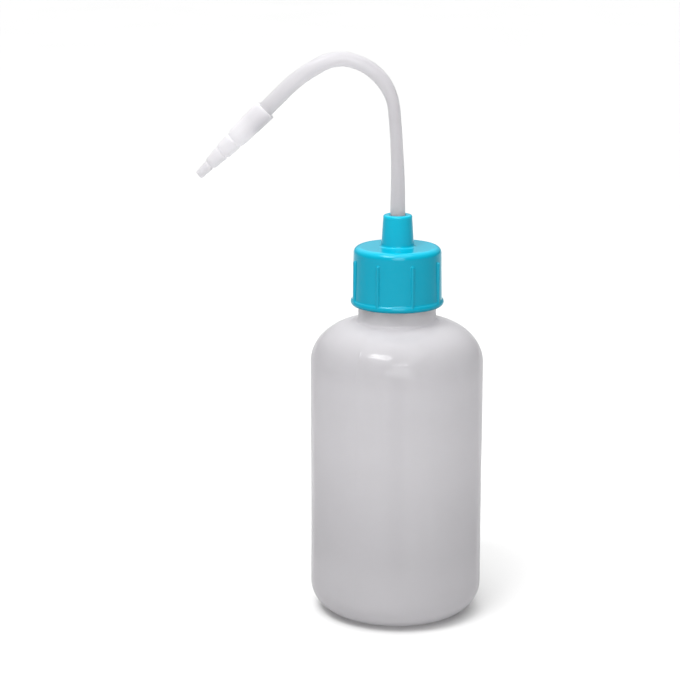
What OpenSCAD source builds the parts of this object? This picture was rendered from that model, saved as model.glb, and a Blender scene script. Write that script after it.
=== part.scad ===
// Laboratory wash bottle. A soft round bottle is closed by a ribbed screw cap whose spout
// holds an inner plug. The plug carries a dip tube below and a swan-neck delivery tube
// above, and a stepped nozzle tip is pushed onto the delivery tube's end.
//
// Millimetres. The origin is on the bottle's axis at its foot, +Z is up, and the nozzle
// points towards -X. The bottle, the cap's body and the plug are turned about the axis.

/* [Bottle] */
// Outer diameter of the body
body_d = 75; // [74:0.5:78]
// Height at which the straight wall ends and the shoulder starts
shoulder_z = 111.2; // [105:0.1:112]
// Radius of the rounded corner at the foot
foot_corner_r = 13.5; // [10:0.5:15]
// Radius of the shoulder
shoulder_r = 18.7; // [17:0.1:19]
// Wall thickness of the body
body_wall = 1.2; // [0.8:0.1:1.6]
// Diameter of the plain neck below the cap
neck_d = 33.6; // [33.2:0.1:34]
// Depth of the recess under the base
recess_depth = 2; // [1:0.1:3]

/* [Screw cap] */
// Height of the cap's lower edge above the foot
cap_z = 137.6; // [137:0.1:139]
// Height of the cap without its spout
cap_h = 25.6; // [24.5:0.1:26]
// Diameter of the skirt at its lower edge
skirt_d = 38.6; // [38.2:0.1:39]
// Diameter of the skirt at its upper edge
skirt_top_d = 37.9; // [37.6:0.1:38]
// Diameter over the bead round the lower edge
bead_d = 40.3; // [40:0.1:41]
// Number of grip ribs
rib_count = 8; // [4:1:16]
// Width of a grip rib
rib_w = 1.4; // [1:0.1:2]
// Height of the spout above the cap's top
spout_h = 13.7; // [13:0.1:15]
// Diameter of the spout at its root
spout_root_d = 14; // [13.5:0.1:15]
// Diameter of the spout at its mouth
spout_mouth_d = 12.5; // [12:0.1:13]

/* [Screw thread] */
// Rise of the thread in one turn
thread_pitch = 4; // [3.5:0.1:4.5]
// Number of turns
thread_turns = 1.5; // [1:0.25:1.5]

/* [Tubes] */
// Outer diameter of the delivery tube and the dip tube
tube_d = 6.4; // [6:0.1:6.6]
// Bore of both tubes
tube_bore_d = 3.8; // [3:0.1:4]
// Height of the dip tube's lower end above the foot
dip_end_z = 6; // [5:0.5:20]
// Height at which the delivery tube starts to bend
bend_z = 185; // [180:0.5:190]

/* [Nozzle tip] */
// Depth of the socket that takes the delivery tube's end
socket_depth = 10; // [6:0.5:12]
// Bore at the mouth of the tip
mouth_bore_d = 1.6; // [1:0.1:2]

/* [Hidden] */
$fn = 96;

// Radial play between two parts that turn or slide on each other
play = 0.05;
// Length added to a cutting tool so that it passes through a face
over = 1;

// Bottle
body_r = body_d / 2;
neck_r = neck_d / 2;
neck_fillet_r = 2;
recess_r = 20;
recess_slope = 3;
collar_top_z = cap_z + 6;
rim_z = cap_z + cap_h - 3.75;
finish_r = neck_r - 0.9;
mouth_r = finish_r - 1.5;

// Screw cap
cap_top_z = cap_z + cap_h;
cap_plate = 2.2;
cap_bore_r = finish_r + 1.5;
cap_edge_r = 2.8;
bead_r = 1.5;
rib_top_z = cap_top_z - 5.4;
rib_r = bead_d / 2 - 0.1;
rib_first = -117;
spout_edge_r = 0.8;
spout_root_fillet_r = 0.8;
spout_top_z = cap_top_z + spout_h;
spout_lip = 1.6;

// Inner plug
flange_r = finish_r + 0.1;
flange_top_z = cap_top_z - cap_plate - play;
stem_r = 4.6;
stem_top_z = spout_top_z - spout_lip - play;
throat_low_z = rim_z - 1.5;
throat_high_z = rim_z + 2.5;
plug_skirt_z = rim_z - 8;
plug_skirt_wall = 1.1;
dip_socket_z = rim_z - 11.5;
// Radial gap between the dip tube and its socket, which stands for a push fit
press_gap = 0.02;

// Thread ridges: [radius, width along the axis] at the inner and the outer edge
neck_ridge = [[finish_r - 0.4, 1.9], [finish_r + 1.1, 1]];
cap_ridge = [[finish_r + 0.35, 1], [cap_bore_r + 0.4, 1.9]];
// Height at which the neck's ridge starts, and how far the cap's ridge runs below it
neck_ridge_z = collar_top_z + 3.2;
ridge_offset = 1.4;
// Facets in a turn, and the angle from +X at which both ridges start
ridge_facets = 30;
ridge_start = 7;

// Delivery tube: each bend is [radius of the centreline, angle], one after the other from
// straight up towards -X, and a straight end follows
tube_r = tube_d / 2;
tube_start_z = throat_high_z + play;
BENDS = [[383, 5.5], [24, 71.2], [17.8, 38.6], [57, 19.2]];
tail_len = 12.4;
// Step in radius between neighbouring lengths, and how far one laps into the next
seam_step = 0.02;
seam_lap = 0.5;

// Nozzle tip: each step is [rear diameter, front diameter, end diameter, length, taper
// length], where the last stretch of the length narrows from the front to the end diameter
STEPS = [
    [9.8, 8.9, 7, 18.6, 4.4],
    [7.9, 7.4, 5.7, 7.3, 2],
    [6.6, 5.8, 4.1, 7.4, 2.4],
    [4.6, 4, 3.2, 6.7, 2]
];
// Length over which one step gives way to the next
step_gap = 0.4;
throat_bore_d = 3.2;

// Heading of the centreline where bend i starts, anticlockwise from +X seen from -Y
function heading(i) = i == 0 ? 90 : heading(i - 1) + BENDS[i - 1][1];

// Place [x, z] where bend i starts
function bend_start(i) = i == 0
    ? [0, bend_z]
    : let (r = BENDS[i - 1][0], a = heading(i - 1), b = heading(i))
      bend_start(i - 1) + r * [sin(b) - sin(a), cos(a) - cos(b)];

// Distance from the tip's rear edge to the rear of step i
function step_start(i) = i == 0 ? 0 : step_start(i - 1) + STEPS[i - 1][3];

tail_heading = heading(len(BENDS));
tail_start = bend_start(len(BENDS));
tip_len = step_start(len(STEPS));

// Half outline of the body and the neck, drawn in by inset, with the neck's own radius
module bottle_outline(inset, neck, top) {
    wall_r = body_r - inset;
    corner = [body_r - foot_corner_r, foot_corner_r];
    shoulder = [body_r - shoulder_r, shoulder_z];
    fillet_r = neck_fillet_r + inset;
    reach = shoulder_r - inset + fillet_r;
    fillet_x = neck + fillet_r;
    fillet = [fillet_x, shoulder_z + sqrt(pow(reach, 2) - pow(fillet_x - shoulder.x, 2))];
    tangent = shoulder + (fillet - shoulder) * (shoulder_r - inset) / reach;
    difference() {
        polygon([
            [0, inset], [corner.x, inset], [wall_r, corner.y], [wall_r, shoulder.y],
            tangent, [neck, fillet.y], [neck, top], [0, top]
        ]);
        translate(fillet)
            circle(r = fillet_r);
    }
    translate(corner)
        circle(r = foot_corner_r - inset);
    translate(shoulder)
        circle(r = shoulder_r - inset);
}

// Half section of the recess under the base, raised by the thickness of the floor
module recess_outline(lift) {
    top = recess_depth + lift;
    polygon([[0, -over], [recess_r + over, -over], [recess_r, lift], [recess_r - recess_slope, top], [0, top]]);
}

// One helical ridge that rises anticlockwise, with flat ends
module thread_ridge(edges) {
    inner = edges[0];
    outer = edges[1];
    corners = [
        [inner[0], -inner[1] / 2],
        [outer[0], -outer[1] / 2],
        [outer[0], outer[1] / 2],
        [inner[0], inner[1] / 2]
    ];
    count = ceil(thread_turns * ridge_facets);
    points = [
        for (i = [0:count], c = corners)
            let (turn = thread_turns * i / count, angle = ridge_start + 360 * turn)
            [c.x * cos(angle), c.x * sin(angle), c.y + thread_pitch * turn]
    ];
    sides = [
        for (i = [0:count - 1], k = [0:3])
            let (a = 4 * i + k, b = 4 * i + (k + 1) % 4)
            each [[a, b, a + 4], [b, b + 4, a + 4]]
    ];
    last = 4 * count;
    ends = [[3, 2, 1, 0], [last, last + 1, last + 2, last + 3]];
    polyhedron(points, concat(sides, ends));
}

// Solid rod of radius r along the delivery tube's centreline. Every second length is a hair
// slimmer and laps into its neighbours, so that their surfaces never coincide.
module swan_neck(r, tail) {
    translate([0, 0, tube_start_z])
        cylinder(r = r, h = bend_z - tube_start_z);
    for (i = [0:len(BENDS) - 1]) {
        bend_r = BENDS[i][0];
        slim = i % 2 == 0;
        lap = slim ? seam_lap / bend_r * 180 / PI : 0;
        centre = bend_start(i) + bend_r * [-sin(heading(i)), cos(heading(i))];
        translate([centre.x, 0, centre.y])
            rotate([90, 0, 0])
                rotate([0, 0, heading(i) - 90 - lap])
                    rotate_extrude(angle = BENDS[i][1] + 2 * lap)
                        translate([bend_r, 0])
                            circle(r = slim ? r - seam_step : r);
    }
    on_tail(-seam_lap)
        cylinder(r = r - seam_step, h = tail + seam_lap);
}

// Moves along the delivery tube's straight end, with +Z towards the mouth
module on_tail(distance) {
    dir = [cos(tail_heading), sin(tail_heading)];
    place = tail_start + distance * dir;
    translate([place.x, 0, place.y])
        rotate([0, 90 - tail_heading, 0])
            children();
}

// One grip rib with a round top, up the cap's skirt at the given angle
module rib(angle) {
    foot_z = cap_z + bead_r;
    straight = rib_top_z - rib_w / 2 - foot_z;
    rotate([0, 0, angle])
        translate([rib_r - rib_w / 2, 0, foot_z])
            rotate_extrude($fn = 24) {
                square([rib_w / 2, straight]);
                translate([0, straight])
                    intersection() {
                        circle(d = rib_w);
                        square(rib_w);
                    }
            }
}

// Blow-moulded bottle with a recessed base, a plain collar and a threaded neck
module bottle() {
    color([0.8, 0.8, 0.82, 0.6]) {
        rotate_extrude()
            difference() {
                union() {
                    bottle_outline(0, neck_r, collar_top_z);
                    square([finish_r, rim_z]);
                }
                difference() {
                    bottle_outline(body_wall, mouth_r, rim_z + over);
                    recess_outline(body_wall);
                }
                recess_outline(0);
            }
        translate([0, 0, neck_ridge_z])
            thread_ridge(neck_ridge);
    }
}

// Screw cap with a bead, grip ribs, an inner thread and a conical spout
module screw_cap() {
    skirt_top_r = skirt_top_d / 2;
    edge = [skirt_top_r - cap_edge_r, cap_top_z - cap_edge_r];
    mouth = [spout_mouth_d / 2 - spout_edge_r, spout_top_z - spout_edge_r];
    root_fillet = [spout_root_d / 2 + spout_root_fillet_r, cap_top_z + spout_root_fillet_r];
    color([0.11, 0.69, 0.81]) {
        rotate_extrude()
            difference() {
                union() {
                    polygon([[0, cap_z], [skirt_d / 2, cap_z], [skirt_top_r, edge.y], [0, edge.y]]);
                    translate([0, cap_z])
                        square([edge.x, cap_h]);
                    translate(edge)
                        circle(r = cap_edge_r);
                    translate([bead_d / 2 - bead_r, cap_z + bead_r])
                        circle(r = bead_r);
                    polygon([[0, cap_top_z], [spout_root_d / 2, cap_top_z],
                             [spout_mouth_d / 2, mouth.y], [0, mouth.y]]);
                    square([mouth.x, spout_top_z]);
                    translate(mouth)
                        circle(r = spout_edge_r);
                    difference() {
                        translate([0, cap_top_z - over])
                            square([root_fillet.x, spout_root_fillet_r + over]);
                        translate(root_fillet)
                            circle(r = spout_root_fillet_r);
                    }
                }
                square([cap_bore_r, cap_top_z - cap_plate]);
                square([stem_r + play, spout_top_z - spout_lip]);
                square([tube_r + 3 * play, spout_top_z + over]);
            }
        translate([0, 0, neck_ridge_z - ridge_offset])
            thread_ridge(cap_ridge);
        for (i = [0:rib_count - 1])
            rib(rib_first + i * 360 / rib_count);
    }
}

// Plug that seals the mouth, with a socket for the dip tube and a stem for the delivery tube
module inner_plug() {
    skirt_r = mouth_r - play;
    lead = 0.5;
    color([0.9, 0.9, 0.91])
        rotate_extrude()
            difference() {
                union() {
                    translate([0, rim_z + play])
                        square([flange_r, flange_top_z - rim_z - play]);
                    polygon([
                        [skirt_r - plug_skirt_wall, rim_z + over],
                        [skirt_r - plug_skirt_wall, plug_skirt_z],
                        [skirt_r - lead, plug_skirt_z],
                        [skirt_r, plug_skirt_z + 2 * lead],
                        [skirt_r, rim_z + over]
                    ]);
                    translate([0, dip_socket_z])
                        square([stem_r, stem_top_z - dip_socket_z]);
                }
                square([tube_r + press_gap, throat_low_z]);
                square([tube_bore_d / 2, stem_top_z + over]);
                translate([0, throat_high_z])
                    square([tube_r + play, stem_top_z]);
            }
}

// Swan-neck tube from the plug's stem to the nozzle tip
module delivery_tube() {
    color([0.87, 0.87, 0.89])
        difference() {
            swan_neck(tube_r, tail_len + socket_depth);
            swan_neck(tube_bore_d / 2, tail_len + socket_depth + over);
            translate([0, 0, tube_start_z - over])
                cylinder(d = tube_bore_d, h = 2 * over);
        }
}

// Straight tube from the plug nearly to the base, cut at 45 degrees at its foot
module dip_tube() {
    top_z = throat_low_z - play;
    color([0.87, 0.87, 0.89])
        difference() {
            translate([0, 0, dip_end_z])
                cylinder(d = tube_d, h = top_z - dip_end_z);
            translate([0, 0, dip_end_z - over])
                cylinder(d = tube_bore_d, h = top_z);
            translate([-tube_r, 0, dip_end_z])
                rotate([0, -45, 0])
                    translate([-over, -tube_d, -3 * tube_d])
                        cube([4 * tube_d, 2 * tube_d, 3 * tube_d]);
        }
}

// Stepped tip that pushes onto the delivery tube's end
module nozzle_tip() {
    outline = [
        for (i = [0:len(STEPS) - 1])
            let (s = STEPS[i], z = step_start(i))
            each [
                [s[0] / 2, i == 0 ? z : z + step_gap],
                [s[1] / 2, z + s[3] - s[4]],
                [s[2] / 2, z + s[3]]
            ]
    ];
    color([0.87, 0.87, 0.89])
        on_tail(tail_len)
            rotate_extrude()
                difference() {
                    polygon(concat([[0, 0]], outline, [[0, tip_len]]));
                    translate([0, -over])
                        square([tube_r + play, socket_depth + over + 2 * play]);
                    polygon([
                        [0, 0],
                        [throat_bore_d / 2, 0],
                        [throat_bore_d / 2, socket_depth + over],
                        [mouth_bore_d / 2, tip_len - over],
                        [mouth_bore_d / 2, tip_len + over],
                        [0, tip_len + over]
                    ]);
                }
}

bottle();
screw_cap();
inner_plug();
delivery_tube();
dip_tube();
nozzle_tip();
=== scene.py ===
"""Laboratory wash bottle: the visual model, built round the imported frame.

Profiles are written in millimetres, because moulded parts are drawn that way, and MM turns
them into the frame's metres. Each piece has a function of its own that builds its mesh, and
each material has one that builds its nodes.
"""
import math

import bpy
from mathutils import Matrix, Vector


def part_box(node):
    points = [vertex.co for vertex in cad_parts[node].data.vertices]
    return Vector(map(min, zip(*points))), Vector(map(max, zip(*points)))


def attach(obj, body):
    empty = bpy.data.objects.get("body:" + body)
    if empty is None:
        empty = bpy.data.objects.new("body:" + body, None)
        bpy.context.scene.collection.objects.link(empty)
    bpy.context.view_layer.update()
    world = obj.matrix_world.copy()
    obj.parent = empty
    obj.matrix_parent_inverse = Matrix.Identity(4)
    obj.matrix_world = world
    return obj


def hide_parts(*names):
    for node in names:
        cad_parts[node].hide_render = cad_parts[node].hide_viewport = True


MM = 0.001

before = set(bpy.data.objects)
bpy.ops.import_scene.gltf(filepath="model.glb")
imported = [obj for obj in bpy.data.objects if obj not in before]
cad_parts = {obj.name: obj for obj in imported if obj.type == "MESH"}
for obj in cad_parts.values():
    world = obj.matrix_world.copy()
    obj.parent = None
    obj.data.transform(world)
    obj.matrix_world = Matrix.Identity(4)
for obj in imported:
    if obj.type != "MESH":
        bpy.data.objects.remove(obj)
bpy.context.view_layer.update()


def node_box(node):
    """Lowest and highest corner of a CAD node, in millimetres."""
    low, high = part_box(node)
    return [v / MM for v in low], [v / MM for v in high]


bottle_high = node_box("bottle")[1]
cap_low, cap_high = node_box("screw_cap")
plug_low, plug_high = node_box("inner_plug")
tube_low = node_box("delivery_tube")[0]
dip_low, dip_high = node_box("dip_tube")

# Bottle. The foot's and the shoulder's edges are ellipses: half width, then half height.
BODY_R = bottle_high[0]
RIM_Z = bottle_high[2]
NECK_R = 16.8
FINISH_R = 15.9
MOUTH_R = 14.4
COLLAR_H = 6.0
WALL = 1.2
FOOT_CORNER = (14.2, 12.8)
SHOULDER_Z = 112.2
SHOULDER = (22.0, 18.3)
NECK_FILLET = 1.6
RECESS_DEPTH = 2.0
GATE_R = 1.6
GATE_H = 0.35
RING_R = 15.0
SEAM_ANGLE = -119.0
SEAM_H = 0.07
SEAM_HALF_W = 0.22
WAIST = 0.10
WAVES = 0.035

# Screw cap. Its spout stands on the plate, and its ribs end a little below the plate's edge.
CAP_Z = cap_low[2]
SPOUT_TOP_Z = cap_high[2]
BEAD_OUT_R = cap_high[1]
SPOUT_H = 13.7
CAP_TOP_Z = SPOUT_TOP_Z - SPOUT_H
CAP_BORE_R = 17.4
CAP_PLATE = 2.2
SKIRT_R = 19.3
SKIRT_TOP_R = 18.95
CAP_EDGE_R = 2.8
BEAD_R = 1.5
SPOUT_ROOT_R = 7.0
SPOUT_MOUTH_R = 6.25
RIB_COUNT = 8
RIB_FIRST = -117.0
RIB_HALF_W = 0.7
RIB_SLOPE = 3.5
RIB_FILLET = 0.3
RIB_TOP_Z = CAP_TOP_Z - 5.4
RIB_OUT_R = BEAD_OUT_R - 0.1

# Screw thread, shared by the neck and the cap. The cap's ridge runs THREAD_PLAY below the neck's.
PITCH = 4.0
THREAD_TURNS = 1.5
THREAD_START = 7.0
THREAD_RUN_OUT = 0.05
THREAD_HALF_W = 0.95
THREAD_FLANK = 0.5
THREAD_Z = CAP_Z + 9.2
THREAD_PLAY = 1.4
NECK_THREAD_H = 1.1
CAP_THREAD_H = 1.15

# Tubes and plug. Each bend is (radius of the centreline, degrees turned).
TUBE_R = 3.2
TUBE_BORE_R = 1.9
TUBE_NARROW_R = 2.62
TUBE_FULL_R = 3.4
STEM_R = 4.6
STEM_TOP_Z = plug_high[2]
BEND_Z = 185.0
BENDS = ((383.0, 5.5), (24.0, 71.2), (17.8, 38.6), (57.0, 19.2))
TAIL = 12.4
SOCKET_DEPTH = 10.0


# ---------------------------------------------------------------- curves and meshes

def arc(centre, radii, start, end, count):
    """Points along an ellipse, from one angle to another in degrees, both ends included."""
    points = []
    for i in range(count + 1):
        angle = math.radians(start + (end - start) * i / count)
        x, y = radii[0] * math.cos(angle), radii[1] * math.sin(angle)
        points.append((centre[0] + x, centre[1] + y))
    return points


def line(start, end, count):
    """Points along a straight line, both ends included."""
    return [
        (start[0] + (end[0] - start[0]) * i / count, start[1] + (end[1] - start[1]) * i / count)
        for i in range(count + 1)
    ]


def joined(*runs):
    """One list of points from several runs, leaving out points that repeat."""
    points = []
    for run in runs:
        for p in run:
            if not points or math.dist(points[-1], p) > 1e-4:
                points.append(p)
    return points


def smooth_step(x):
    """Rises smoothly from 0 to 1 as x does."""
    x = min(max(x, 0.0), 1.0)
    return x * x * (3.0 - 2.0 * x)


def soft_max(a, b, blend):
    """The larger of two values, with a fillet of about the blend's size where they cross."""
    h = max(blend - abs(a - b), 0.0) / blend
    return max(a, b) + h * h * blend * 0.25


def make_object(name, verts, faces, sharp_angle=35.0):
    """A smooth-shaded object from points in millimetres."""
    mesh = bpy.data.meshes.new(name)
    mesh.from_pydata([(x * MM, y * MM, z * MM) for x, y, z in verts], [], faces)
    mesh.validate()
    mesh.shade_smooth()
    mesh.set_sharp_from_angle(angle=math.radians(sharp_angle))
    obj = bpy.data.objects.new(name, mesh)
    bpy.context.scene.collection.objects.link(obj)
    return obj


def grid_faces(rows, columns, closed_rows):
    """Quads between rows of points that each go round once."""
    faces = []
    last = rows if closed_rows else rows - 1
    for i in range(last):
        j = (i + 1) % rows
        for k in range(columns):
            n = (k + 1) % columns
            faces.append((i * columns + k, i * columns + n, j * columns + n, j * columns + k))
    return faces


def lathe(name, profile, angles, shape=None, place=None, sharp_angle=35.0):
    """Turns a closed outline of (radius, height) points about Z.

    An outline that starts and ends on the axis gets a point there. shape(radius, height,
    angle) may move a point's radius and height, and place(x, y, z) moves the finished point.
    """
    on_axis = profile[0][0] < 1e-6 and profile[-1][0] < 1e-6
    rings = profile[1:-1] if on_axis else profile
    verts = []
    for r, z in rings:
        for a in angles:
            rr, zz = shape(r, z, a) if shape else (r, z)
            verts.append((rr * math.cos(math.radians(a)), rr * math.sin(math.radians(a)), zz))
    faces = grid_faces(len(rings), len(angles), not on_axis)
    if on_axis:
        first, last = len(verts), len(verts) + 1
        verts += [(0.0, 0.0, profile[0][1]), (0.0, 0.0, profile[-1][1])]
        base = (len(rings) - 1) * len(angles)
        for k in range(len(angles)):
            n = (k + 1) % len(angles)
            faces.append((first, n, k))
            faces.append((last, base + k, base + n))
    if place:
        verts = [place(*v) for v in verts]
    return make_object(name, verts, faces, sharp_angle)


def even_angles(count):
    """Angles in degrees that go evenly round once."""
    return [360.0 * i / count for i in range(count)]


def angle_gap(a, b):
    """Smallest difference between two angles, signed, in degrees."""
    return (a - b + 180.0) % 360.0 - 180.0


def thread_height(angle, z, start_z):
    """Height of the helical ridge above its wall, from 0 to 1, at a place on the wall."""
    best = 0.0
    for turn in range(int(THREAD_TURNS) + 1):
        travelled = (angle - THREAD_START) % 360.0 / 360.0 + turn
        if travelled > THREAD_TURNS:
            continue
        off = abs(z - start_z - PITCH * travelled)
        ends = smooth_step(min(travelled, THREAD_TURNS - travelled) / THREAD_RUN_OUT)
        best = max(best, ends * smooth_step((THREAD_HALF_W - off) / THREAD_FLANK))
    return best


# ---------------------------------------------------------------- the bottle

def bottle_outline():
    """Closed outline of the bottle's wall, from the base's middle outside to its middle inside."""
    corner = (BODY_R - FOOT_CORNER[0], FOOT_CORNER[1])
    shoulder = (BODY_R - SHOULDER[0], SHOULDER_Z)
    inner_foot = (FOOT_CORNER[0] - WALL, FOOT_CORNER[1] - WALL)
    inner_shoulder = (SHOULDER[0] - WALL, SHOULDER[1] - WALL)
    recess_r = 16.6
    foot_r = 20.6
    collar_z = CAP_Z + COLLAR_H
    fillet_x = NECK_R + NECK_FILLET
    reach = (fillet_x - shoulder[0]) / (SHOULDER[0] + NECK_FILLET)
    neck_angle = math.degrees(math.acos(reach))
    fillet_z = SHOULDER_Z + (SHOULDER[1] + NECK_FILLET) * math.sin(math.radians(neck_angle))
    outside = joined(
        line((0.0, RECESS_DEPTH - GATE_H), (GATE_R, RECESS_DEPTH - GATE_H), 2),
        line((GATE_R + 0.3, RECESS_DEPTH), (RING_R - 0.6, RECESS_DEPTH), 6),
        arc((RING_R, RECESS_DEPTH), (0.45, 0.3), 180, 360, 6),
        line((RING_R + 0.6, RECESS_DEPTH), (recess_r, RECESS_DEPTH), 2),
        arc((recess_r, RECESS_DEPTH - 1.2), (1.2, 1.2), 90, 40, 5),
        arc((foot_r, 1.0), (1.4, 1.0), 215, 270, 5),
        line((foot_r, 0.0), (corner[0], 0.0), 3),
        arc(corner, FOOT_CORNER, -90, 0, 26),
        line((BODY_R, corner[1]), (BODY_R, SHOULDER_Z), 70),
        arc(shoulder, SHOULDER, 0, neck_angle, 34),
        arc((fillet_x, fillet_z), (NECK_FILLET, NECK_FILLET), 180 + neck_angle, 180, 6),
        line((NECK_R, fillet_z), (NECK_R, collar_z), 10),
        arc((NECK_R - 0.5, collar_z - 0.4), (0.5, 0.5), 0, 90, 4),
        line((FINISH_R, collar_z + 0.1), (FINISH_R, RIM_Z - 0.5), 56),
        arc((FINISH_R - 0.5, RIM_Z - 0.5), (0.5, 0.5), 0, 90, 4),
        arc((MOUTH_R + 0.4, RIM_Z - 0.4), (0.4, 0.4), 90, 180, 4),
    )
    inside = joined(
        line((MOUTH_R, RIM_Z - 1.0), (MOUTH_R, fillet_z + 1.0), 16),
        arc((MOUTH_R + 3.0, fillet_z + 0.6), (3.0, 3.0), 180, 180 + neck_angle - 6, 8),
        arc(shoulder, inner_shoulder, neck_angle - 4, 0, 34),
        line((BODY_R - WALL, SHOULDER_Z), (BODY_R - WALL, corner[1]), 70),
        arc(corner, inner_foot, 0, -90, 26),
        line((corner[0], WALL), (foot_r + 1.0, WALL), 2),
        line((recess_r + 1.6, RECESS_DEPTH + WALL), (0.0, RECESS_DEPTH + WALL), 10),
    )
    return joined(outside, inside)


def bottle_shape(r, z, angle):
    """The blow-moulded wall: a slight waist, faint waves, a parting seam and the neck's thread.

    The waist lies between heights of 12 and 96, and the waves and the seam fade out towards
    the neck and under the base.
    """
    a = math.radians(angle)
    if r > MOUTH_R + 0.1 and CAP_Z + COLLAR_H + 0.2 < z < RIM_Z - 0.6:
        return r + NECK_THREAD_H * thread_height(angle, z, THREAD_Z), z
    on_wall = smooth_step((r - 24.0) / 8.0)
    waist = WAIST * math.sin(math.pi * min(max((z - 12.0) / 84.0, 0.0), 1.0))
    waves = WAVES * (
        2.0
        + math.sin(3 * a + 0.06 * z + 0.7)
        + 0.6 * math.sin(5 * a - 0.09 * z + 2.1)
        + 0.4 * math.sin(2 * a + 0.21 * z)
    )
    seam = 0.0
    for side in (0.0, 180.0):
        off = math.radians(angle_gap(angle, SEAM_ANGLE + side)) * r
        seam = max(seam, math.exp(-((off / SEAM_HALF_W) ** 2)))
    if r <= BODY_R - 0.5 * WALL and z <= SHOULDER_Z:
        seam = 0.0
    return r + on_wall * (SEAM_H * seam - waist - waves), z


def bottle_angles():
    """Even steps round the bottle, with close ones at the two parting seams."""
    angles = set(even_angles(144))
    close = 0.22
    for side in (0.0, 180.0):
        for k in range(-4, 5):
            angles.add((SEAM_ANGLE + side + close * k) % 360.0)
    return sorted(angles)


def build_bottle():
    """The bottle with its neck, in one piece."""
    obj = lathe("bottle_shell", bottle_outline(), bottle_angles(), bottle_shape)
    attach(obj, "bottle")
    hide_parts("bottle")
    return obj


# ---------------------------------------------------------------- the screw cap

def cap_outline():
    """Closed outline of the cap: up its outside, over the spout, down its bore and inside."""
    edge = (SKIRT_TOP_R - CAP_EDGE_R, CAP_TOP_Z - CAP_EDGE_R)
    bead = (BEAD_OUT_R - BEAD_R, CAP_Z + BEAD_R)
    bore_r = STEM_R + 0.05
    hole_r = TUBE_R + 0.3
    shelf_z = CAP_TOP_Z - CAP_PLATE
    lip_z = SPOUT_TOP_Z - 1.6
    top_edge = 0.9
    root = 0.9
    skirt_foot = CAP_Z + 2 * BEAD_R
    rib_low, rib_high = RIB_TOP_Z - 1.6, RIB_TOP_Z + 1.2

    def skirt_r(z):
        """Radius of the tapered skirt at a height."""
        return SKIRT_TOP_R + (SKIRT_R - SKIRT_TOP_R) * (edge[1] - z) / (edge[1] - skirt_foot)

    return joined(
        line((CAP_BORE_R + 0.3, CAP_Z), (bead[0], CAP_Z), 3),
        arc(bead, (BEAD_R, BEAD_R), -90, 62, 14),
        arc((SKIRT_R + 0.95, skirt_foot + 0.32), (0.95, 0.95), 242, 184, 5),
        line((SKIRT_R, skirt_foot + 0.3), (skirt_r(rib_low), rib_low), 22),
        line((skirt_r(rib_low), rib_low), (skirt_r(rib_high), rib_high), 28),
        line((skirt_r(rib_high), rib_high), (SKIRT_TOP_R, edge[1]), 3),
        arc(edge, (CAP_EDGE_R, CAP_EDGE_R), 0, 90, 14),
        line((edge[0], CAP_TOP_Z), (SPOUT_ROOT_R + root, CAP_TOP_Z + 0.02), 8),
        arc((SPOUT_ROOT_R + root, CAP_TOP_Z + root), (root, root), 270, 183, 6),
        line((SPOUT_ROOT_R, CAP_TOP_Z + root + 0.05), (SPOUT_MOUTH_R, SPOUT_TOP_Z - top_edge), 16),
        arc((SPOUT_MOUTH_R - top_edge, SPOUT_TOP_Z - top_edge), (top_edge, top_edge), 0, 90, 8),
        line((SPOUT_MOUTH_R - top_edge, SPOUT_TOP_Z), (hole_r + 0.5, SPOUT_TOP_Z), 3),
        arc((hole_r + 0.5, SPOUT_TOP_Z - 0.5), (0.5, 0.5), 90, 180, 5),
        line((hole_r, SPOUT_TOP_Z - 0.5), (hole_r, lip_z), 2),
        line((bore_r, lip_z), (bore_r, shelf_z), 12),
        line((bore_r, shelf_z), (CAP_BORE_R - 0.8, shelf_z), 8),
        arc((CAP_BORE_R - 0.8, shelf_z - 0.8), (0.8, 0.8), 90, 0, 4),
        line((CAP_BORE_R, shelf_z - 0.8), (CAP_BORE_R, CAP_Z + 0.3), 72),
    )


def cap_shape(r, z, angle):
    """Grip ribs outside, with a fillet where they meet the skirt, and the thread inside."""
    if abs(r - CAP_BORE_R) < 0.05 and z < CAP_TOP_Z - CAP_PLATE - 0.9:
        return r - CAP_THREAD_H * thread_height(angle, z, THREAD_Z - THREAD_PLAY), z
    if r < SKIRT_TOP_R - 0.6 or z < CAP_Z + BEAD_R:
        return r, z
    off = angle_gap((angle - RIB_FIRST) * RIB_COUNT, 0.0) / RIB_COUNT
    across = math.radians(off) * r
    beyond = max(z - (RIB_TOP_Z - RIB_HALF_W), 0.0)
    distance = math.hypot(across, beyond)
    if distance > 3 * RIB_HALF_W:
        return r, z
    if distance < RIB_HALF_W:
        crown = math.sqrt(RIB_HALF_W ** 2 - distance ** 2)
    else:
        crown = RIB_SLOPE * (RIB_HALF_W - distance)
    rib_r = RIB_OUT_R - RIB_HALF_W + crown
    return max(r, min(soft_max(r, rib_r, RIB_FILLET), RIB_OUT_R)), z


def cap_angles():
    """Close steps across each rib, wide ones between them."""
    spacing = 360.0 / RIB_COUNT
    close = 0.34
    side = 11 * close
    wide = (spacing - 2 * side) / 12
    angles = []
    for rib in range(RIB_COUNT):
        middle = RIB_FIRST + rib * spacing
        angles += [middle + close * k for k in range(-11, 12)]
        angles += [middle + side + wide * k for k in range(1, 12)]
    return [a % 360.0 for a in angles]


def build_cap():
    """The screw cap with its spout, in one piece."""
    obj = lathe("cap_shell", cap_outline(), cap_angles(), cap_shape, sharp_angle=50.0)
    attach(obj, "cap")
    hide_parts("screw_cap")
    return obj


# ---------------------------------------------------------------- plug and tubes

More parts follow.
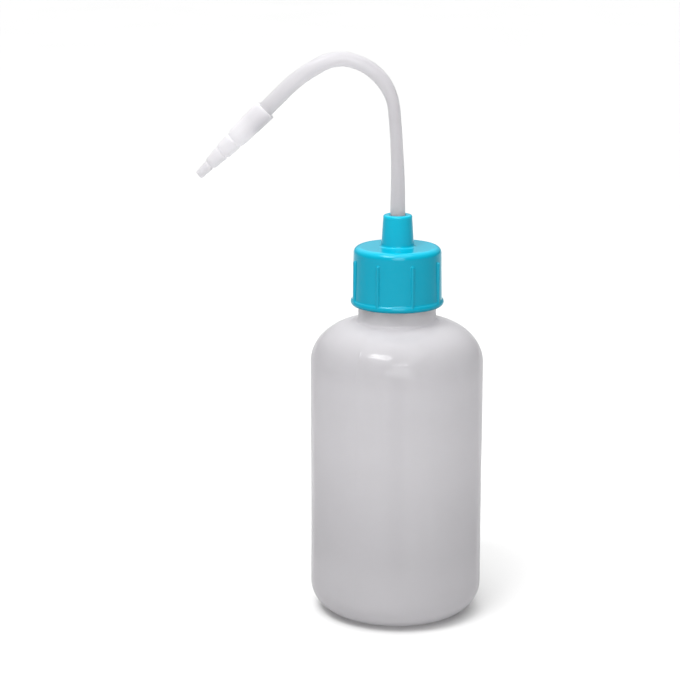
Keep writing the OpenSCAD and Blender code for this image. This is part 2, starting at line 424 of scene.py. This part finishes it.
def build_plug():
    """Stopper with a flange on the neck's rim, a sealing skirt and a stem for the tubes."""
    skirt_r = MOUTH_R - 0.05
    skirt_in = skirt_r - 1.1
    skirt_z = RIM_Z - 8.0
    flange_low = RIM_Z + 0.05
    flange_high = CAP_TOP_Z - CAP_PLATE - 0.05
    socket_r = TUBE_R + 0.02
    bore_r = TUBE_R + 0.05
    outline = joined(
        line((socket_r, plug_low[2]), (STEM_R - 0.3, plug_low[2]), 2),
        arc((STEM_R - 0.3, plug_low[2] + 0.3), (0.3, 0.3), -90, 0, 3),
        line((STEM_R, plug_low[2] + 0.3), (STEM_R, flange_low - 0.6), 6),
        arc((STEM_R + 0.6, flange_low - 0.6), (0.6, 0.6), 180, 90, 4),
        line((STEM_R + 0.6, flange_low), (skirt_in - 0.6, flange_low), 5),
        arc((skirt_in - 0.6, flange_low - 0.6), (0.6, 0.6), 90, 0, 4),
        line((skirt_in, flange_low - 0.6), (skirt_in, skirt_z + 0.3), 6),
        arc((skirt_in + 0.35, skirt_z + 0.3), (0.35, 0.3), 180, 270, 4),
        line((skirt_r - 0.5, skirt_z), (skirt_r, skirt_z + 1.2), 3),
        line((skirt_r, skirt_z + 1.2), (skirt_r, flange_low), 6),
        line((skirt_r, flange_low), (FINISH_R - 0.2, flange_low), 2),
        arc((FINISH_R - 0.2, flange_low + 0.3), (0.3, 0.3), -90, 90, 6),
        line((FINISH_R - 0.2, flange_high), (STEM_R + 0.4, flange_high), 6),
        line((STEM_R, flange_high + 0.3), (STEM_R, STEM_TOP_Z - 0.4), 10),
        arc((STEM_R - 0.4, STEM_TOP_Z - 0.4), (0.4, 0.4), 0, 90, 4),
        line((bore_r, STEM_TOP_Z), (bore_r, RIM_Z + 2.5), 8),
        line((TUBE_BORE_R, RIM_Z + 2.5), (TUBE_BORE_R, RIM_Z - 1.5), 3),
        line((socket_r, RIM_Z - 1.5), (socket_r, plug_low[2] + 0.01), 6),
    )
    obj = lathe("plug_stopper", outline, even_angles(72))
    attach(obj, "plug")
    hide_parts("inner_plug")
    return obj


def build_dip_tube():
    """Straight tube whose foot is cut at 45 degrees, so that it can't seal on the base."""
    top = dip_high[2]
    foot = dip_low[2]
    outline = joined(
        line((TUBE_BORE_R, foot), (TUBE_R, foot), 2),
        line((TUBE_R, foot), (TUBE_R, top), 40),
        line((TUBE_R, top), (TUBE_BORE_R, top), 2),
        line((TUBE_BORE_R, top), (TUBE_BORE_R, foot + 0.01), 40),
    )

    def cut(x, y, z):
        """Squeezes the tube's height above a sloping foot."""
        slope = foot + (x + TUBE_R)
        return x, y, slope + (top - slope) * (z - foot) / (top - foot)

    obj = lathe("dip_pipe", outline, even_angles(48), place=cut)
    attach(obj, "plug")
    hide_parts("dip_tube")
    return obj


def centreline(step):
    """Points (x, z, heading in degrees, length so far) along the delivery tube's centreline."""
    straight = BEND_Z - tube_low[2]
    count = max(2, round(straight / step))
    climbed = [straight * i / count for i in range(count)]
    points = [(0.0, tube_low[2] + d, 90.0, d) for d in climbed]
    x, z, heading, length = 0.0, BEND_Z, 90.0, straight
    for radius, turn in BENDS:
        count = max(3, round(radius * math.radians(turn) / step))
        a = math.radians(heading)
        centre = (x - radius * math.sin(a), z + radius * math.cos(a))
        for i in range(count):
            b = math.radians(heading + turn * i / count)
            x, z = centre[0] + radius * math.sin(b), centre[1] - radius * math.cos(b)
            points.append((x, z, math.degrees(b), length + radius * math.radians(turn) * i / count))
        heading += turn
        length += radius * math.radians(turn)
        end = math.radians(heading)
        x, z = centre[0] + radius * math.sin(end), centre[1] - radius * math.cos(end)
    tail = TAIL + SOCKET_DEPTH
    count = max(2, round(tail / step))
    a = math.radians(heading)
    for i in range(count + 1):
        d = tail * i / count
        points.append((x + d * math.cos(a), z + d * math.sin(a), heading, length + d))
    return points


def tail_start():
    """Where the tip's rear edge stands, and the heading there."""
    end = centreline(1.0)[-1]
    a = math.radians(end[2])
    return end[0] - SOCKET_DEPTH * math.cos(a), end[1] - SOCKET_DEPTH * math.sin(a), end[2]


def eased(value, marks):
    """A value that passes smoothly through (place, value) marks."""
    if value <= marks[0][0]:
        return marks[0][1]
    for (a, va), (b, vb) in zip(marks, marks[1:]):
        if value <= b:
            return va + (vb - va) * smooth_step((value - a) / (b - a))
    return marks[-1][1]


def build_delivery_tube():
    """Heat-bent tube: drawn narrow where the bend starts, and a little full beyond it."""
    points = centreline(1.0)
    total = points[-1][3]
    bend = BEND_Z - tube_low[2]
    half_widths = (
        (14.0, TUBE_R), (bend + 26.0, TUBE_NARROW_R), (bend + 37.0, TUBE_NARROW_R),
        (bend + 54.0, TUBE_R - 0.05), (bend + 69.0, TUBE_R - 0.05),
        (bend + 85.0, TUBE_FULL_R), (total - SOCKET_DEPTH, TUBE_FULL_R), (total, TUBE_FULL_R - 0.1),
    )
    columns = 48
    verts = []
    for surface in (1.0, TUBE_BORE_R / TUBE_R):
        for x, z, heading, length in points:
            half = eased(length, half_widths)
            side = math.sqrt(2 * TUBE_R ** 2 - half ** 2) if half < TUBE_R else half
            a = math.radians(heading)
            for k in range(columns):
                b = 2 * math.pi * k / columns
                u = half * surface * math.cos(b)
                v = side * surface * math.sin(b)
                verts.append((x - u * math.sin(a), v, z + u * math.cos(a)))
    rings = len(points)
    faces = []
    for k in range(columns):
        n = (k + 1) % columns
        for i in range(rings - 1):
            a, b = i * columns, (i + 1) * columns
            faces.append((a + n, a + k, b + k, b + n))
            a, b = a + rings * columns, b + rings * columns
            faces.append((a + k, a + n, b + n, b + k))
        inner = rings * columns
        faces.append((k, n, inner + n, inner + k))
        last = (rings - 1) * columns
        faces.append((last + n, last + k, inner + last + k, inner + last + n))
    obj = make_object("swan_neck_tube", verts, faces)
    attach(obj, "swan_neck")
    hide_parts("delivery_tube")
    return obj


def build_tip():
    """Stepped tip: each step tapers towards the mouth and rounds over before the next.

    A step is (rear, front and end diameter, length, length of the rounded part).
    """
    steps = (
        (9.75, 8.85, 6.9, 18.6, 4.4),
        (7.85, 7.35, 5.6, 7.3, 2.0),
        (6.55, 5.75, 4.0, 7.4, 2.4),
        (4.55, 3.95, 3.15, 6.7, 2.0),
    )
    edge = 0.25
    groove = 0.45
    bore_r = 3.45
    mouth_r = 0.8
    outside = []
    z = 0.0
    for i, (rear, front, end, length, rounded) in enumerate(steps):
        start = z if i == 0 else z + groove
        outside.append((rear / 2 - edge, start))
        outside += arc((rear / 2 - edge, start + edge), (edge, edge), -60, 0, 3)
        front_z = z + length - rounded
        outside += line((rear / 2, start + edge), (front / 2, front_z), 8)
        last_angle = 70 if i == len(steps) - 1 else 84
        outside += arc((end / 2, front_z), ((front - end) / 2, rounded), 0, last_angle, 7)[1:]
        z += length
        outside.append((end / 2, z))
    outline = joined(
        line((bore_r + 0.3, 0.0), (outside[0][0], 0.0), 2),
        outside,
        line((mouth_r, z), (mouth_r, z - 1.0), 1),
        line((mouth_r, z - 1.0), (1.6, SOCKET_DEPTH + 1.0), 10),
        line((1.7, SOCKET_DEPTH + 0.4), (bore_r, SOCKET_DEPTH + 0.2), 3),
        line((bore_r, SOCKET_DEPTH + 0.2), (bore_r, 0.3), 6),
    )
    x0, z0, heading = tail_start()
    a = math.radians(heading)

    def on_tail(x, y, z):
        """Turns the upright tip to point along the tube's end."""
        return x0 + z * math.cos(a) + x * math.sin(a), y, z0 + z * math.sin(a) - x * math.cos(a)

    obj = lathe("nozzle_cone", outline, even_angles(64), place=on_tail)
    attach(obj, "tip")
    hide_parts("nozzle_tip")
    return obj


# ---------------------------------------------------------------- materials

class Nodes:
    """A short way to write the nodes of a material or a world."""

    def __init__(self, owner):
        owner.use_nodes = True
        self.tree = owner.node_tree
        self.tree.nodes.clear()

    def add(self, kind, inputs=None, **settings):
        """A node whose inputs, by name or number, are values or other nodes' outputs."""
        node = self.tree.nodes.new(kind)
        for key, value in settings.items():
            setattr(node, key, value)
        for key, value in (inputs or {}).items():
            if isinstance(value, bpy.types.NodeSocket):
                self.tree.links.new(value, node.inputs[key])
            else:
                node.inputs[key].default_value = value
        return node

    def calculate(self, operation, *values):
        """The result of a Math node's operation on some values."""
        inputs = dict(enumerate(values))
        return self.add("ShaderNodeMath", inputs, operation=operation).outputs["Value"]

    def coordinates(self, kind):
        """Object coordinates in metres, or Generated ones, which are directions in a world."""
        return self.add("ShaderNodeTexCoord").outputs[kind]

    def noise(self, scale, detail=3.0):
        """Noise whose scale is in cells per metre."""
        inputs = {"Vector": self.coordinates("Object"), "Scale": scale, "Detail": detail}
        return self.add("ShaderNodeTexNoise", inputs).outputs["Fac"]

    def ramp(self, value, low, high):
        """Remaps noise, which stays near a half, to the range from low to high."""
        inputs = {"Value": value, "From Min": 0.3, "From Max": 0.7, "To Min": low, "To Max": high}
        return self.add("ShaderNodeMapRange", inputs).outputs["Result"]

    def shades(self, stops):
        """A colour that changes smoothly with height through (height, colour) stops.

        The heights are in metres, and the first of them is 0.
        """
        top = stops[-1][0]
        point = self.add("ShaderNodeSeparateXYZ", {"Vector": self.coordinates("Object")})
        share = self.add("ShaderNodeMapRange", {"Value": point.outputs["Z"], "From Max": top})
        node = self.add("ShaderNodeValToRGB", {"Fac": share.outputs["Result"]})
        ramp = node.color_ramp
        ramp.interpolation = "EASE"
        ramp.elements[0].color = stops[0][1]
        ramp.elements[1].color = stops[-1][1]
        for height, colour in stops[1:-1]:
            ramp.elements.new(height / top).color = colour
        return node.outputs["Color"]

    def mix_colour(self, share, first, second):
        """A share of the second colour in the first."""
        node = self.add("ShaderNodeMix", {"Factor": share}, data_type="RGBA")
        for socket, value in ((node.inputs[6], first), (node.inputs[7], second)):
            if isinstance(value, bpy.types.NodeSocket):
                self.tree.links.new(value, socket)
            else:
                socket.default_value = value
        return node.outputs[2]

    def bump(self, height, distance, strength, normal=None):
        """A normal tilted by a height, over another normal if one is given."""
        inputs = {"Height": height, "Distance": distance, "Strength": strength}
        if normal:
            inputs["Normal"] = normal
        return self.add("ShaderNodeBump", inputs).outputs["Normal"]

    def shader(self, kind, **inputs):
        """A simple surface shader, with its inputs by name."""
        return self.add(kind, inputs).outputs["BSDF"]

    def mix_shader(self, share, first, second):
        """A share of the second shader in the first."""
        inputs = {"Fac": share, 1: first, 2: second}
        return self.add("ShaderNodeMixShader", inputs).outputs["Shader"]

    def reflectance(self, head_on, edge_on, normal):
        """Schlick's share of light that a surface mirrors, the same from both of its sides."""
        weight = self.add("ShaderNodeLayerWeight", {"Blend": 0.5, "Normal": normal})
        edge = self.calculate("POWER", weight.outputs["Facing"], 5.0)
        return self.calculate("MULTIPLY_ADD", edge, edge_on - head_on, head_on)


def milk(tone):
    """Natural polyethylene's colour, faintly lilac, at a given lightness."""
    return (tone, tone - 0.008, tone + 0.006, 1.0)


def milky_plastic(name, stops, clear, glow, roughness):
    """Natural polyethylene: a milky wall that shows a little of what is behind, under a gloss.

    clear is the share of light that goes straight through one surface, and glow the share
    that is scattered to the far side. stops are the colours at several heights, which follow
    the lighter and darker bands that the photograph shows: painted light and shade by height.
    """
    material = bpy.data.materials.new(name)
    n = Nodes(material)
    cloud = n.ramp(n.noise(38.0), 0.0, 0.03)
    # The stops give painted light and shade by height; cloud is a random milky tone.
    colour = n.mix_colour(cloud, n.shades(stops), (0.60, 0.59, 0.62, 1.0))
    grain = n.noise(1400.0, 2.0)
    pebble = n.noise(90.0, 2.0)
    normal = n.bump(pebble, 0.0002, 0.15, n.bump(grain, 0.00001, 0.4))
    scattered = n.mix_shader(
        glow,
        n.shader("ShaderNodeBsdfDiffuse", Color=colour, Normal=normal),
        n.shader("ShaderNodeBsdfTranslucent", Color=colour, Normal=normal),
    )
    thin = n.ramp(n.noise(22.0, 2.0), clear - 0.03, clear + 0.03)
    wall = n.mix_shader(thin, scattered, n.shader("ShaderNodeBsdfTransparent"))
    rough = n.ramp(pebble, roughness - 0.03, roughness + 0.03)
    gloss = n.shader("ShaderNodeBsdfGlossy", Roughness=rough, Normal=normal)
    surface = n.mix_shader(n.reflectance(0.013, 0.35, normal), wall, gloss)
    n.add("ShaderNodeOutputMaterial", {"Surface": surface})
    return material


def cap_plastic():
    """Glossy turquoise polypropylene with fine mould texture and faint flow marks.

    The colour is painted lighter on the plate and at the spout's lip, as in the photograph:
    painted light from above on the plate, a painted highlight on the lip, and the skirt
    painted darker.
    """
    material = bpy.data.materials.new("cap_turquoise_pp")
    n = Nodes(material)
    # Painted light and shade by height: a plate painted lighter as lit from above, a painted
    # highlight at the lip, and a skirt painted darker.
    skirt, painted_plate_light = (0.001, 0.190, 0.269, 1.0), (0.001, 0.262, 0.365, 1.0)
    spout, painted_lip_highlight = (0.001, 0.229, 0.319, 1.0), (0.002, 0.300, 0.410, 1.0)
    stops = (
        (0.0, skirt), (CAP_TOP_Z - 2.5, skirt), (CAP_TOP_Z - 0.2, painted_plate_light),
        (CAP_TOP_Z + 1.4, spout), (SPOUT_TOP_Z - 1.4, spout), (SPOUT_TOP_Z, painted_lip_highlight),
    )
    painted_light = n.shades([(z * MM, colour) for z, colour in stops])
    colour = n.mix_colour(n.ramp(n.noise(60.0), 0.0, 0.06), painted_light, (0.0, 0.1, 0.16, 1.0))
    flow = n.noise(260.0, 2.0)
    grain = n.noise(2600.0, 2.0)
    normal = n.bump(grain, 0.00001, 0.2, n.bump(flow, 0.00004, 0.2))
    shell = n.shader("ShaderNodeBsdfDiffuse", Color=colour, Normal=normal)
    tint = (0.70, 0.95, 1.0, 1.0)
    rough = n.ramp(flow, 0.06, 0.10)
    gloss = n.shader("ShaderNodeBsdfGlossy", Color=tint, Roughness=rough, Normal=normal)
    surface = n.mix_shader(n.reflectance(0.017, 1.0, normal), shell, gloss)
    n.add("ShaderNodeOutputMaterial", {"Surface": surface})
    return material


def give(obj, material):
    """Makes a material an object's only one."""
    obj.data.materials.clear()
    obj.data.materials.append(material)


# ---------------------------------------------------------------- floor, light and camera

# Places and sizes here are in metres.
LOOK_AT = Vector((-0.0247, 0.0, 0.1217))
ELEVATION = math.radians(13.5)
CAMERA_DISTANCE = 0.95
FOCAL_LENGTH = 116.0
FLOOR_HALF = 15000.0
LAMP_AIM = Vector((0.0, 0.0, 0.12))
LAMP_DISTANCE = 1.15
BRIGHT_SIDE = Vector((-0.10, 0.36, 0.93))
BRIGHT = 2.6
DIM = 0.16
FOCUS = 3.0


def build_stage():
    """A wide pale floor."""
    material = bpy.data.materials.new("stage_white")
    n = Nodes(material)
    tone = n.ramp(n.noise(6.0), 0.505, 0.515)
    colour = n.add("ShaderNodeCombineColor", {"Red": tone, "Green": tone, "Blue": tone})
    surface = n.shader("ShaderNodeBsdfDiffuse", Color=colour.outputs["Color"])
    n.add("ShaderNodeOutputMaterial", {"Surface": surface})
    half = FLOOR_HALF
    corners = [(-half, -half, 0.0), (half, -half, 0.0), (half, half, 0.0), (-half, half, 0.0)]
    floor = make_object("floor", corners, [(0, 1, 2, 3)])
    give(floor, material)


def add_lamp(name, kind, direction, power):
    """A lamp that shines on the bottle's middle from a direction. Returns its settings."""
    data = bpy.data.lights.new(name, kind)
    data.energy = power
    lamp = bpy.data.objects.new(name, data)
    away = Vector(direction).normalized()
    lamp.location = LAMP_AIM + LAMP_DISTANCE * away
    lamp.rotation_euler = away.to_track_quat("Z", "Y").to_euler()
    bpy.context.scene.collection.objects.link(lamp)
    return data


def add_softbox(name, direction, size, power):
    """A soft rectangular lamp, whose outline shows in the gloss."""
    data = add_lamp(name, "AREA", direction, power)
    data.shape = "RECTANGLE"
    data.size, data.size_y = size


def add_far_light(name, direction, spread, power):
    """A far lamp of some degrees across, which lights the floor evenly right to its edge."""
    data = add_lamp(name, "SUN", direction, power)
    data.angle = math.radians(spread)


def build_room():
    """A white room that is bright overhead and behind, and dim in front and to the right."""
    world = bpy.data.worlds.new("studio")
    bpy.context.scene.world = world
    n = Nodes(world)
    inputs = {0: n.coordinates("Generated"), 1: BRIGHT_SIDE.normalized()}
    towards = n.add("ShaderNodeVectorMath", inputs, operation="DOT_PRODUCT")
    facing = n.calculate("MAXIMUM", towards.outputs["Value"], 0.0)
    strength = n.calculate("MULTIPLY_ADD", n.calculate("POWER", facing, FOCUS), BRIGHT, DIM)
    white = (1.0, 1.0, 1.0, 1.0)
    background = n.add("ShaderNodeBackground", {"Color": white, "Strength": strength})
    n.add("ShaderNodeOutputWorld", {"Surface": background.outputs["Background"]})


def build_lamps():
    """Two softboxes for the highlights on the shoulder, and two far lamps, above and in front."""
    add_softbox("key_softbox", (-0.31, -0.43, 0.85), (0.48, 0.26), 9.4)
    add_softbox("front_strip", (0.06, -0.77, 0.63), (0.50, 0.09), 2.4)
    add_far_light("ceiling_light", (-0.06, -0.34, 0.94), 64.0, 2.2)
    add_far_light("window_light", (0.03, -0.96, 0.28), 36.0, 1.85)


def build_camera():
    """The photograph's viewing angle, from -Y and a little above."""
    data = bpy.data.cameras.new("camera")
    data.sensor_width = 36.0
    data.lens = FOCAL_LENGTH
    data.clip_start = 0.01
    camera = bpy.data.objects.new("camera", data)
    away = Vector((0.0, -math.cos(ELEVATION), math.sin(ELEVATION)))
    camera.location = LOOK_AT + CAMERA_DISTANCE * away
    camera.rotation_euler = (-away).to_track_quat("-Z", "Y").to_euler()
    bpy.context.scene.collection.objects.link(camera)
    bpy.context.scene.camera = camera


# ---------------------------------------------------------------- everything together

build_camera()
build_room()
build_lamps()
build_stage()

# The bottle's stops paint light and shade by height: darker on the lower body and the shoulder,
# lighter at the foot and on the neck.
bottle_plastic = milky_plastic(
    "bottle_ldpe",
    (
        (0.0, milk(0.695)), (0.018, milk(0.68)), (0.034, milk(0.64)), (0.080, milk(0.69)),
        (0.104, milk(0.675)), (0.119, milk(0.61)), (0.133, milk(0.755)),
    ),
    clear=0.26, glow=0.75, roughness=0.11,
)
# The tube's stops paint light: it is lighter towards the top of its bend.
tube_plastic = milky_plastic(
    "tube_ldpe",
    ((0.0, milk(0.665)), (0.20, milk(0.665)), (0.24, milk(0.69))),
    clear=0.16, glow=0.80, roughness=0.16,
)
# The tip's stops paint light and shade: lighter towards its upper, rear end and darker towards the
# mouth.
tip_plastic = milky_plastic(
    "tip_ldpe",
    ((0.0, milk(0.66)), (0.19, milk(0.70)), (0.23, milk(0.82))),
    clear=0.12, glow=0.80, roughness=0.25,
)
plug_plastic = milky_plastic(
    "plug_ldpe",
    ((0.0, milk(0.84)), (0.3, milk(0.84))),
    clear=0.10, glow=0.35, roughness=0.35,
)

give(build_bottle(), bottle_plastic)
give(build_cap(), cap_plastic())
give(build_plug(), plug_plastic)
give(build_dip_tube(), tube_plastic)
give(build_delivery_tube(), tube_plastic)
give(build_tip(), tip_plastic)

bpy.context.scene.view_settings.view_transform = "Standard"
